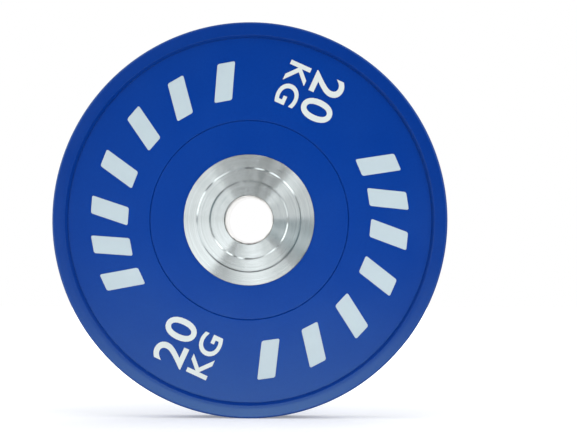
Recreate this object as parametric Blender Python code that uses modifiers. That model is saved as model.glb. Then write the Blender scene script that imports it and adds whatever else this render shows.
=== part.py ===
"""Olympic bumper plate: a moulded rubber disc on a steel hub that is drawn together by screws.

Everything is modelled as it lies on a bench, front face up, with the bar's axis along Z.
The last step stands the plate on its tread, so the front faces -Y and the bar runs along Y.
Lengths are in metres. Radii are true to the flats of the facets, so the bore still clears
its bar and the tread still measures its full diameter.
"""
import math

import bmesh
import bpy
from mathutils import Matrix

# Rubber disc
PLATE_DIAMETER = 0.450
RIM_WIDTH = 0.058
TREAD_CORNER_RADIUS = 0.005
RIM_BAND = 0.0145
WALL_DRAFT = 0.0038
FIELD_RECESS = 0.0045
RIM_EDGE_RADIUS = 0.0016
FIELD_FILLET_RADIUS = 0.0016
INNER_FIELD_WIDTH = 0.0389
GROOVE_WIDTH = 0.0020
GROOVE_DEPTH = 0.0012

# Steel hub
HUB_DIAMETER = 0.1492
HUB_PROUD = 0.0015
HUB_EDGE_CHAMFER = 0.0010
OUTER_RING_WIDTH = 0.0147
LAND_WIDTH = 0.0153
LAND_HEIGHT = 0.0014
STEP_RUN = 0.0012

# Sleeve that the bar passes through
BORE_DIAMETER = 0.0504
SLEEVE_WALL = 0.0028
SLEEVE_CHAMFER = 0.0012
SLEEVE_SHY = 0.0002
COLLAR_HEIGHT = 0.0040

# Steel core inside the rubber
CORE_THICKNESS = 0.024
CORE_OVERHANG = 0.042
CORE_EDGE_CHAMFER = 0.0015
KEY_HOLES = 8
KEY_HOLE_DIAMETER = 0.020
PEG_ROOT = 0.001

# Socket head screws and their lock washers
SCREWS = 8
SCREW_DIAMETER = 0.006
HEAD_DIAMETER = 0.010
HEAD_HEIGHT = 0.006
HEAD_CHAMFER = 0.0006
SOCKET_WIDTH = 0.005
SOCKET_DEPTH = 0.0032
THREAD_ENGAGEMENT = 0.0067
THREAD_RUNOUT = 0.0015
TIP_CHAMFER = 0.0008
COUNTERBORE_CLEARANCE = 0.0005
HEAD_SHY = 0.0004
WASHER_DIAMETER = 0.0098
WASHER_THICKNESS = 0.0016
WASHER_SPLIT = 0.0009

# Gap left between pieces that touch
FIT = 0.0003

# Facets
SEGMENTS = 68
HOLE_SEGMENTS = 16
SCREW_SEGMENTS = 12
ARC_STEP = math.radians(24)
SHARP_ANGLE = math.radians(30)
MERGE = 0.00001

# Places that follow from the sizes above
PLATE_RADIUS = PLATE_DIAMETER / 2
RIM_Z = RIM_WIDTH / 2
FIELD_Z = RIM_Z - FIELD_RECESS
RIM_INNER_RADIUS = PLATE_RADIUS - RIM_BAND
FIELD_RADIUS = RIM_INNER_RADIUS - WALL_DRAFT
HUB_RADIUS = HUB_DIAMETER / 2
GROOVE_RADIUS = HUB_RADIUS + INNER_FIELD_WIDTH
RING_Z = FIELD_Z + HUB_PROUD
LAND_Z = RING_Z + LAND_HEIGHT
LAND_OUTER_RADIUS = HUB_RADIUS - OUTER_RING_WIDTH
LAND_INNER_RADIUS = LAND_OUTER_RADIUS - LAND_WIDTH
BORE_RADIUS = BORE_DIAMETER / 2
SLEEVE_RADIUS = BORE_RADIUS + SLEEVE_WALL
COLLAR_RADIUS = SLEEVE_RADIUS + COLLAR_HEIGHT
SLEEVE_Z = RING_Z - SLEEVE_SHY
CORE_Z = CORE_THICKNESS / 2
FLANGE_Z = CORE_Z + FIT
CORE_RADIUS = HUB_RADIUS + CORE_OVERHANG
KEY_CIRCLE_RADIUS = HUB_RADIUS + CORE_OVERHANG / 2
SCREW_CIRCLE_RADIUS = (LAND_OUTER_RADIUS + LAND_INNER_RADIUS) / 2
SCREW_HOLE_RADIUS = SCREW_DIAMETER / 2 + FIT
COUNTERBORE_RADIUS = HEAD_DIAMETER / 2 + COUNTERBORE_CLEARANCE
HEAD_SEAT_Z = LAND_Z - HEAD_SHY - HEAD_HEIGHT
WASHER_Z = HEAD_SEAT_Z - FIT - WASHER_THICKNESS
COUNTERBORE_Z = WASHER_Z - FIT
SCREW_REACH = HEAD_SEAT_Z + FLANGE_Z + THREAD_ENGAGEMENT
TAPPED_HOLE_Z = FLANGE_Z + THREAD_ENGAGEMENT + THREAD_RUNOUT


def clear_scene():
    """Remove whatever the file opened with."""
    for thing in list(bpy.data.objects):
        bpy.data.objects.remove(thing)


def new_collection(name):
    """Make a collection and link it to the scene."""
    collection = bpy.data.collections.new(name)
    bpy.context.scene.collection.children.link(collection)
    return collection


def new_material(name, colour, roughness, metallic):
    """Make a Principled material from a linear colour."""
    material = bpy.data.materials.new(name)
    material.use_nodes = True
    shader = material.node_tree.nodes["Principled BSDF"]
    shader.inputs["Base Color"].default_value = (*colour, 1.0)
    shader.inputs["Roughness"].default_value = roughness
    shader.inputs["Metallic"].default_value = metallic
    return material


def new_object(name, mesh, collection, parent, material=None):
    """Put a mesh in a collection, on the empty that carries the whole plate."""
    thing = bpy.data.objects.new(name, mesh)
    collection.objects.link(thing)
    thing.parent = parent
    if material:
        mesh.materials.append(material)
    return thing


def rounded(outline):
    """Round each corner of a closed outline of (radius, z, fillet) by its own fillet."""
    points = []
    for i, (x, z, fillet) in enumerate(outline):
        if fillet <= 0:
            points.append((x, z))
            continue
        before = outline[i - 1]
        after = outline[(i + 1) % len(outline)]
        way_in = math.atan2(z - before[1], x - before[0])
        way_out = math.atan2(after[1] - z, after[0] - x)
        turn = (way_out - way_in + math.pi) % (2 * math.pi) - math.pi
        side = math.copysign(1, turn)
        setback = fillet * math.tan(abs(turn) / 2)
        centre_x = x - setback * math.cos(way_in) - side * fillet * math.sin(way_in)
        centre_z = z - setback * math.sin(way_in) + side * fillet * math.cos(way_in)
        steps = max(1, round(abs(turn) / ARC_STEP))
        for step in range(steps + 1):
            angle = way_in - side * math.pi / 2 + turn * step / steps
            points.append((centre_x + fillet * math.cos(angle), centre_z + fillet * math.sin(angle)))
    return points


def turned_mesh(name, points, collection, segments, closed=True):
    """Turn a profile about Z with a Screw modifier and return the mesh that it makes."""
    across_flats = 1 / math.cos(math.pi / segments)
    profile = bpy.data.meshes.new(name)
    edges = [(i, i + 1) for i in range(len(points) - 1)]
    if closed:
        edges.append((len(points) - 1, 0))
    profile.from_pydata([(x * across_flats, 0, z) for x, z in points], edges, [])
    guide = bpy.data.objects.new(name + "_profile", profile)
    collection.objects.link(guide)
    screw = guide.modifiers.new("turn", "SCREW")
    screw.angle = 2 * math.pi
    screw.steps = segments
    screw.render_steps = segments
    screw.use_merge_vertices = True
    screw.merge_threshold = MERGE
    graph = bpy.context.evaluated_depsgraph_get()
    mesh = bpy.data.meshes.new_from_object(guide.evaluated_get(graph))
    mesh.name = name
    bpy.data.objects.remove(guide)
    bpy.data.meshes.remove(profile)
    mesh.transform(Matrix.Rotation(math.pi / segments, 4, "Z"))
    mesh.shade_smooth()
    mesh.set_sharp_from_angle(angle=SHARP_ANGLE)
    return mesh


def around(count, radius):
    """Give the angle and centre of each place in a ring of holes."""
    for i in range(count):
        angle = 2 * math.pi * (i + 0.5) / count
        yield angle, (radius * math.cos(angle), radius * math.sin(angle))


def ring_of_cylinders(name, collection, parent, count, circle, radius, low, high):
    """Make a hidden ring of upright cylinders, to cut with or to join on."""
    shape = bmesh.new()
    for angle, (x, y) in around(count, circle):
        place = Matrix.Translation((x, y, (low + high) / 2)) @ Matrix.Rotation(angle, 4, "Z")
        bmesh.ops.create_cone(
            shape,
            cap_ends=True,
            segments=HOLE_SEGMENTS,
            radius1=radius,
            radius2=radius,
            depth=high - low,
            matrix=place,
        )
    mesh = bpy.data.meshes.new(name)
    shape.to_mesh(mesh)
    shape.free()
    ring = new_object(name, mesh, collection, parent)
    ring.hide_render = True
    ring.display_type = "WIRE"
    return ring


def combine(thing, operation, other):
    """Cut one shape from another, or join the two, with the exact solver."""
    boolean = thing.modifiers.new(other.name, "BOOLEAN")
    boolean.operation = operation
    boolean.solver = "EXACT"
    boolean.object = other


def rubber_face(side):
    """Outline of one moulded face from the hub out to the tread, for side 1 or -1."""
    return [
        (HUB_RADIUS + FIT, side * FIELD_Z, 0),
        (GROOVE_RADIUS - GROOVE_WIDTH / 2, side * FIELD_Z, 0),
        (GROOVE_RADIUS - GROOVE_WIDTH / 4, side * (FIELD_Z - GROOVE_DEPTH), 0),
        (GROOVE_RADIUS + GROOVE_WIDTH / 4, side * (FIELD_Z - GROOVE_DEPTH), 0),
        (GROOVE_RADIUS + GROOVE_WIDTH / 2, side * FIELD_Z, 0),
        (FIELD_RADIUS, side * FIELD_Z, FIELD_FILLET_RADIUS),
        (RIM_INNER_RADIUS, side * RIM_Z, RIM_EDGE_RADIUS),
        (PLATE_RADIUS, side * RIM_Z, TREAD_CORNER_RADIUS),
    ]


def make_rubber_body(parts, cutters, parent, material):
    """Mould the rubber round the core, with a peg of rubber through each keying hole."""
    slot_z = CORE_Z + FIT
    slot_radius = CORE_RADIUS + FIT
    slot = [
        (HUB_RADIUS + FIT, -slot_z, 0),
        (slot_radius, -slot_z, 0),
        (slot_radius, slot_z, 0),
        (HUB_RADIUS + FIT, slot_z, 0),
    ]
    outline = rubber_face(1) + rubber_face(-1)[::-1] + slot
    mesh = turned_mesh("rubber_body", rounded(outline), parts, SEGMENTS)
    body = new_object("rubber_body", mesh, parts, parent, material)
    peg_radius = KEY_HOLE_DIAMETER / 2 - FIT
    peg_z = slot_z + PEG_ROOT
    pegs = ring_of_cylinders(
        "keying_pegs", cutters, parent, KEY_HOLES, KEY_CIRCLE_RADIUS, peg_radius, -peg_z, peg_z
    )
    combine(body, "UNION", pegs)


def make_core_disc(parts, cutters, parent, material):
    """Turn the core and bore its keying holes and the clearance holes of the screws."""
    outline = [
        (COLLAR_RADIUS + FIT, CORE_Z),
        (CORE_RADIUS - CORE_EDGE_CHAMFER, CORE_Z),
        (CORE_RADIUS, CORE_Z - CORE_EDGE_CHAMFER),
        (CORE_RADIUS, CORE_EDGE_CHAMFER - CORE_Z),
        (CORE_RADIUS - CORE_EDGE_CHAMFER, -CORE_Z),
        (COLLAR_RADIUS + FIT, -CORE_Z),
    ]
    mesh = turned_mesh("core_disc", outline, parts, SEGMENTS)
    core = new_object("core_disc", mesh, parts, parent, material)
    keys = ring_of_cylinders(
        "keying_holes",
        cutters,
        parent,
        KEY_HOLES,
        KEY_CIRCLE_RADIUS,
        KEY_HOLE_DIAMETER / 2,
        -CORE_THICKNESS,
        CORE_THICKNESS,
    )
    combine(core, "DIFFERENCE", keys)
    holes = ring_of_cylinders(
        "core_screw_holes",
        cutters,
        parent,
        SCREWS,
        SCREW_CIRCLE_RADIUS,
        SCREW_HOLE_RADIUS,
        -CORE_THICKNESS,
        CORE_THICKNESS,
    )
    combine(core, "DIFFERENCE", holes)


def make_hub_plate(name, side, parts, parent, material):
    """Turn one flange: outer ring, raised land, inner ring, and a bore for the sleeve."""
    outline = [
        (SLEEVE_RADIUS + FIT, RING_Z),
        (LAND_INNER_RADIUS, RING_Z),
        (LAND_INNER_RADIUS + STEP_RUN, LAND_Z),
        (LAND_OUTER_RADIUS - STEP_RUN, LAND_Z),
        (LAND_OUTER_RADIUS, RING_Z),
        (HUB_RADIUS - HUB_EDGE_CHAMFER, RING_Z),
        (HUB_RADIUS, RING_Z - HUB_EDGE_CHAMFER),
        (HUB_RADIUS, FLANGE_Z),
        (SLEEVE_RADIUS + FIT, FLANGE_Z),
    ]
    if side < 0:
        outline = [(radius, -z) for radius, z in outline[::-1]]
    mesh = turned_mesh(name, outline, parts, SEGMENTS)
    return new_object(name, mesh, parts, parent, material)


def make_front_hub_plate(parts, cutters, parent, material):
    """Flange with blind tapped holes, so nothing shows on the front."""
    plate = make_hub_plate("front_hub_plate", 1, parts, parent, material)
    holes = ring_of_cylinders(
        "tapped_holes",
        cutters,
        parent,
        SCREWS,
        SCREW_CIRCLE_RADIUS,
        SCREW_HOLE_RADIUS,
        0,
        TAPPED_HOLE_Z,
    )
    combine(plate, "DIFFERENCE", holes)


def make_rear_hub_plate(parts, cutters, parent, material):
    """Flange with a through hole and a counterbore for each screw."""
    plate = make_hub_plate("rear_hub_plate", -1, parts, parent, material)
    holes = ring_of_cylinders(
        "rear_screw_holes",
        cutters,
        parent,
        SCREWS,
        SCREW_CIRCLE_RADIUS,
        SCREW_HOLE_RADIUS,
        -RIM_WIDTH,
        0,
    )
    combine(plate, "DIFFERENCE", holes)
    counterbores = ring_of_cylinders(
        "counterbores",
        cutters,
        parent,
        SCREWS,
        SCREW_CIRCLE_RADIUS,
        COUNTERBORE_RADIUS,
        -RIM_WIDTH,
        -COUNTERBORE_Z,
    )
    combine(plate, "DIFFERENCE", counterbores)


def make_bore_sleeve(parts, parent, material):
    """Turn the sleeve, whose middle collar both flanges trap inside the core."""
    end = [
        (BORE_RADIUS, SLEEVE_Z - SLEEVE_CHAMFER),
        (BORE_RADIUS + SLEEVE_CHAMFER, SLEEVE_Z),
        (SLEEVE_RADIUS, SLEEVE_Z),
        (SLEEVE_RADIUS, CORE_Z),
        (COLLAR_RADIUS, CORE_Z),
    ]
    outline = end + [(radius, -z) for radius, z in end[::-1]]
    mesh = turned_mesh("bore_sleeve", outline, parts, SEGMENTS)
    new_object("bore_sleeve", mesh, parts, parent, material)


def screw_mesh(parts, cutters, parent, material):
    """Turn one cap screw, head up with its seat at z = 0, and sink its hexagon socket."""
    head = HEAD_DIAMETER / 2
    shank = SCREW_DIAMETER / 2
    profile = [
        (0, HEAD_HEIGHT),
        (head - HEAD_CHAMFER, HEAD_HEIGHT),
        (head, HEAD_HEIGHT - HEAD_CHAMFER),
        (head, 0),
        (shank, 0),
        (shank, TIP_CHAMFER - SCREW_REACH),
        (shank - TIP_CHAMFER, -SCREW_REACH),
        (0, -SCREW_REACH),
    ]
    mesh = turned_mesh("hub_screw", profile, parts, SCREW_SEGMENTS, closed=False)
    blank = new_object("hub_screw", mesh, parts, parent, material)
    hexagon = bmesh.new()
    bmesh.ops.create_cone(
        hexagon,
        cap_ends=True,
        segments=6,
        radius1=SOCKET_WIDTH / math.sqrt(3),
        radius2=SOCKET_WIDTH / math.sqrt(3),
        depth=2 * SOCKET_DEPTH,
        matrix=Matrix.Translation((0, 0, HEAD_HEIGHT)),
    )
    socket_mesh = bpy.data.meshes.new("hexagon_socket")
    hexagon.to_mesh(socket_mesh)
    hexagon.free()
    socket = new_object("hexagon_socket", socket_mesh, cutters, parent)
    combine(blank, "DIFFERENCE", socket)
    return finished_mesh(blank, socket)


def washer_mesh(parts, cutters, parent, material):
    """Turn one spring washer, resting on z = 0, and saw its split."""
    inner = SCREW_HOLE_RADIUS
    outer = WASHER_DIAMETER / 2
    profile = [(inner, WASHER_THICKNESS), (outer, WASHER_THICKNESS), (outer, 0), (inner, 0)]
    mesh = turned_mesh("lock_washer", profile, parts, SCREW_SEGMENTS)
    blank = new_object("lock_washer", mesh, parts, parent, material)
    slit = bmesh.new()
    bmesh.ops.create_cube(slit, size=1)
    bmesh.ops.scale(slit, vec=(WASHER_DIAMETER, WASHER_SPLIT, 3 * WASHER_THICKNESS), verts=slit.verts)
    bmesh.ops.translate(slit, vec=(WASHER_DIAMETER / 2, 0, 0), verts=slit.verts)
    slit_mesh = bpy.data.meshes.new("washer_slit")
    slit.to_mesh(slit_mesh)
    slit.free()
    saw = new_object("washer_slit", slit_mesh, cutters, parent)
    combine(blank, "DIFFERENCE", saw)
    return finished_mesh(blank, saw)


def finished_mesh(blank, cutter):
    """Return the cut mesh of a blank, for its copies to share, and clear the blank away."""
    graph = bpy.context.evaluated_depsgraph_get()
    mesh = bpy.data.meshes.new_from_object(blank.evaluated_get(graph))
    mesh.name = blank.name
    mesh.set_sharp_from_angle(angle=SHARP_ANGLE)
    bpy.data.objects.remove(blank)
    bpy.data.objects.remove(cutter)
    return mesh


def make_fasteners(parts, cutters, parent, screw_steel, spring_steel):
    """Set a screw and its lock washer in each counterbore, heads to the rear."""
    screw = screw_mesh(parts, cutters, parent, screw_steel)
    washer = washer_mesh(parts, cutters, parent, spring_steel)
    for i, (angle, (x, y)) in enumerate(around(SCREWS, SCREW_CIRCLE_RADIUS), start=1):
        hub_screw = new_object("hub_screw_%d" % i, screw, parts, parent)
        hub_screw.location = (x, y, -HEAD_SEAT_Z)
        hub_screw.rotation_euler = (math.pi, 0, angle)
        lock_washer = new_object("lock_washer_%d" % i, washer, parts, parent)
        lock_washer.location = (x, y, -WASHER_Z)
        lock_washer.rotation_euler = (math.pi, 0, angle)


def main():
    """Build the plate on the bench, then stand it up."""
    clear_scene()
    parts = new_collection("olympic_weight_plate")
    cutters = new_collection("cutters")
    plate = bpy.data.objects.new("plate_axis", None)
    parts.objects.link(plate)

    rubber = new_material("blue_rubber", (0.010, 0.058, 0.300), 0.55, 0.0)
    turned_steel = new_material("turned_steel", (0.62, 0.63, 0.62), 0.28, 1.0)
    sleeve_steel = new_material("sleeve_steel", (0.66, 0.66, 0.64), 0.20, 1.0)
    core_steel = new_material("core_steel", (0.25, 0.25, 0.26), 0.50, 1.0)
    screw_steel = new_material("screw_steel", (0.12, 0.12, 0.13), 0.35, 1.0)
    spring_steel = new_material("spring_steel", (0.30, 0.30, 0.31), 0.35, 1.0)

    make_rubber_body(parts, cutters, plate, rubber)
    make_core_disc(parts, cutters, plate, core_steel)
    make_front_hub_plate(parts, cutters, plate, turned_steel)
    make_rear_hub_plate(parts, cutters, plate, turned_steel)
    make_bore_sleeve(parts, plate, sleeve_steel)
    make_fasteners(parts, cutters, plate, screw_steel, spring_steel)

    plate.rotation_euler = (math.pi / 2, 0, 0)
    bpy.context.view_layer.update()


main()
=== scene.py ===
"""A 20 kg bumper plate stood on its tread: moulded blue rubber round a turned and bolted steel hub.

Lengths are in metres. The bar's axis is Y and the front looks towards -Y. A profile is a list of
(radius, height), where height is measured from the plate's middle plane towards the face in hand.
Degrees of the marks and of the studio's cards run clockwise from the right, as the front is seen.
"""
import math

import bmesh
import bpy
import numpy as np
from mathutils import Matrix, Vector


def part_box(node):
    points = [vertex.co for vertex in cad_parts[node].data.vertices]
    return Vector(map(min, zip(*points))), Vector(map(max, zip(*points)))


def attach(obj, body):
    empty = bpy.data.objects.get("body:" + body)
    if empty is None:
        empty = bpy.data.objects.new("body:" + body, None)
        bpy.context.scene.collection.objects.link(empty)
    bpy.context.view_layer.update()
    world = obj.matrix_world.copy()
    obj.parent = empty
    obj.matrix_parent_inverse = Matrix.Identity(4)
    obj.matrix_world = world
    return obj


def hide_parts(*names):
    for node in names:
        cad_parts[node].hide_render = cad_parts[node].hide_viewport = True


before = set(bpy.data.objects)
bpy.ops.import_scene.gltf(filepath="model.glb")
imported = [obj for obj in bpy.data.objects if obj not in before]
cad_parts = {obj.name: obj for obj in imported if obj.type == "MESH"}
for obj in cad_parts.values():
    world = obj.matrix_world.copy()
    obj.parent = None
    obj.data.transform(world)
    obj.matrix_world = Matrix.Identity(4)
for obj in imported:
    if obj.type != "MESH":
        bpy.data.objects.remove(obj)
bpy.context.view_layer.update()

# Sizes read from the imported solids
PLATE_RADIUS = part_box("rubber_body")[1].x
RIM_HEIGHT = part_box("rubber_body")[1].y
HUB_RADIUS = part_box("front_hub_plate")[1].x
LAND_HEIGHT = -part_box("front_hub_plate")[0].y
FLANGE_HEIGHT = -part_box("front_hub_plate")[1].y
SLEEVE_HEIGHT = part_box("bore_sleeve")[1].y
CORE_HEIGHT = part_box("core_disc")[1].y
CORE_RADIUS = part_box("core_disc")[1].x
SCREW_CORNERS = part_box("hub_screw_1")
SCREW_CIRCLE = math.hypot(*(SCREW_CORNERS[0] + SCREW_CORNERS[1]).xz) / 2

# Sizes of the rubber that its box doesn't give
FIELD_RECESS = 0.0045  # from the rim down to the field
RIM_BAND = 0.0147  # from the tread in to the rim's inner edge
RIM_ROUND = 0.0003
WALL_RUN = 0.0026  # how far the rim's wall runs in as it falls
GUTTER = 0.00085  # depth and width of the gutter at the wall's foot
FIELD_ROUND = 0.00015
CROWN_RUN = 0.0035  # level part of the rim, before its crown falls off
CROWN_DROP = 0.00025
CROWN_ROUND = 0.05
TREAD_ROUND = 0.0022
INNER_FIELD = 0.0386  # from the hub out to the groove
GROOVE_WIDTH = 0.0016
GROOVE_DEPTH = 0.0015
GROOVE_ROUND = 0.0001
PARTING_WIDTH = 0.0014  # line that the mould's halves leave on the tread
PARTING_FLOOR = 0.0004
PARTING_DEPTH = 0.00025
HUB_JOINT = 0.00004  # between the rubber's face and the hub's edge
CLEARANCE = 0.0003  # between the pieces inside
FIELD_HEIGHT = RIM_HEIGHT - FIELD_RECESS
RIM_INNER_RADIUS = PLATE_RADIUS - RIM_BAND
FIELD_RADIUS = RIM_INNER_RADIUS - WALL_RUN
GROOVE_RADIUS = HUB_RADIUS + INNER_FIELD

# Sizes of the hub that its boxes don't give
HUB_PROUD = 0.0015  # its low rings above the rubber's field
OUTER_RING = 0.0147  # from the hub's edge in to the raised land
LAND_WIDTH = 0.0165
STEP_RUN = 0.0017  # how far a step runs in as it rises to the land
STEP_FOOT_ROUND = 0.00015
EDGE_ROUND = 0.0002
EDGE_DRAFT = 0.0003  # how far the hub's edge leans in as it rises
EDGE_FOOT = 0.0002  # how far below the field that edge starts
SEAM_CHAMFER = 0.0002  # both sides of the seam between flange and sleeve
SLEEVE_RADIUS = 0.0280
BORE_RADIUS = 0.0252
LEAD_DEPTH = 0.0085  # where the bore starts to open towards its mouth
LEAD_RISE = 0.0012
LEAD_ROUND = 0.01
MOUTH_ROUND = 0.0011
COLLAR_REACH = 0.0040
RING_HEIGHT = FIELD_HEIGHT + HUB_PROUD
LAND_OUTER_RADIUS = HUB_RADIUS - OUTER_RING
LAND_INNER_RADIUS = LAND_OUTER_RADIUS - LAND_WIDTH
SEAM_RADIUS = SLEEVE_RADIUS + CLEARANCE / 2
COLLAR_RADIUS = SLEEVE_RADIUS + COLLAR_REACH

# Sizes of the cap screws and of the pockets that their heads sit in
SCREWS = 8
POCKET_RADIUS = 0.0055
POCKET_HEIGHT = 0.0188  # of its floor
POCKET_CHAMFER = 0.0003
POCKET_RING = 0.0035  # how far down its wall a ring of points lies
HEAD_RADIUS = 0.0050
HEAD_SUNK = 0.0004  # below the land
HEAD_DEPTH = 0.0060
SOCKET_WIDTH = 0.0050
SOCKET_DEPTH = 0.0032
KNURL_RIDGES = 36
KNURL_DEPTH = 0.00014
KNURL_RELIEF = 0.00004  # how far its ridges stop short of the head's radius
SHANK_RADIUS = 0.0030
SHANK_TIP = -0.0190
TIP_CHAMFER = 0.0008
HEAD_TOP = LAND_HEIGHT - HEAD_SUNK
HEAD_SEAT = HEAD_TOP - HEAD_DEPTH

# Raised marks on the rubber: how far they stand up, and how deep they are rooted
MARK_RISE = 0.0008
MARK_ROOT = 0.0004

# Plain bars: their middle's radius, their length out, their width along the arc, how far they lean
# along it for each length out, the degrees of one set, and the turn from that set to the other
BAR_CIRCLE = 0.1595
BAR_LENGTH = 0.0430
BAR_WIDTH = 0.0205
BAR_CORNER = 0.0022
BAR_SLANT = 0.26
BAR_DEGREES = (155.0, 169.5, 184.0, 201.5, 221.0, 240.5, 260.0)
BAR_TURN = -178

# A bar's sides from its root over its edge, as (drawn in, height over the field)
BAR_SIDES = (
    (0, -MARK_ROOT),
    (0, MARK_RISE - 0.0003),
    (0.0001, MARK_RISE - 0.0001),
    (0.0003, MARK_RISE),
    (0.0010, MARK_RISE),
)

# Each line of figures: radius of its middle, offset across it, width, height, boldness and spacing
FIGURE_LINE = (0.1599, 0.0183, 0.0549, 0.0373, 0.014, 1.10)
UNIT_LINE = (0.1605, -0.0190, 0.0511, 0.0256, 0.018, 1.06)

# Where both lines stand, by the letter that ends their names
FIGURE_DEGREES = (("a", 114.7), ("b", -65.4))

# How finely surfaces are drawn
TURNS = 448  # points round a turned piece
ARC_STEP = math.radians(9)  # of a fillet's arc
FINE_FILLET = 0.0002  # up to this a fillet is much thinner than a pixel, so its steps are twice as long
HOLD = 0.00025  # how far inside a long run's ends its outer points lie
LONGEST = 0.010  # between two points of a run
CORNER_POINTS = 7  # round a bar's corner
SIDE_POINTS = 9  # along the side of a sector of the land
LAND_SHARES = (0.04, 0.3, 0.65, 1.0)  # of the way from a pocket's mouth to its sector's edge
HEAD_POINTS = 144  # round a screw
WELD = 0.000002  # points closer than this are one
SLIVER = 0.000001  # edges shorter than this go
LEVEL = 0.0000001  # how close to the land's height counts as on it
CREASE = math.radians(30)  # edges sharper than this shade sharp

# Sockets of a colour Mix node, which share their names with others and so go by number
SHARE = 0
FIRST = 6
SECOND = 7
MIXED = 2


def linear(code):
    """Turn an sRGB hex colour into the linear RGBA that the sockets take."""
    channels = np.array([int(code[i : i + 2], 16) for i in (1, 3, 5)]) / 255
    low = channels / 12.92
    high = ((channels + 0.055) / 1.055) ** 2.4
    return (*np.where(channels <= 0.04045, low, high).tolist(), 1.0)


def add(tree, kind, inputs=None, **settings):
    """Add a node, apply its settings, and set each input to a value or link it to a socket."""
    made = tree.nodes.new(kind)
    for name, value in settings.items():
        setattr(made, name, value)
    for key, value in (inputs or {}).items():
        if isinstance(value, bpy.types.NodeSocket):
            tree.links.new(value, made.inputs[key])
        else:
            made.inputs[key].default_value = value
    return made


def new_material(name):
    """Start a material with an empty Principled surface and hand back its tree and shader."""
    material = bpy.data.materials.new(name)
    material.use_nodes = True
    return material, material.node_tree, material.node_tree.nodes["Principled BSDF"]


# Materials

# How often each pattern repeats in a metre. Blotches of pigment and handling marks are drawn at their
# real size. The rest is really 0.05 to 0.2 mm across, too fine to show, and is drawn at 1 to 2.5 mm.
BLOTCHES = 16  # 60 mm
HANDLING_MARKS = 60  # 17 mm
SPECKS = 420  # of pigment, 2.4 mm
LATHE_RINGS = 620  # 1.6 mm
PLATING_MOTTLE = 700  # 1.4 mm
MOULD_GRAIN = 900  # 1.1 mm

# Faint streaks that cross the lathe's rings: about 44 round the hub (2 pi times 7), each 11 mm long
STREAKS_ROUND = 7.0
STREAKS_OUT = 90.0

# Painted shade: how much deeper the blue is painted at the rim's wall, where the crease lies in shade, from
# just inside the field's edge to just beyond it; the rim beyond keeps it
WALL_PAINTED_SHADE = 0.19
SHADE_INSIDE = 0.0016
SHADE_BEYOND = 0.0010

# Painted shade: how much deeper the blue is painted over the outer field, darker towards the edge, from this
# radius out to the field's edge
FIELD_PAINTED_SHADE = 0.14
FIELD_PAINTED_SHADE_FROM = 0.12

# How much rougher the tread is, and the width over which its corner gets there
TREAD_DULLING = 0.4
DULLING_RUN = 0.0015

# How far the rings' slopes tip a flat's normal outwards, and how far from their middle value of a
# half the patterns reach the steel's palest and darkest grey
RING_LEAN = 0.25
TONE_REACH = 0.22


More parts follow.
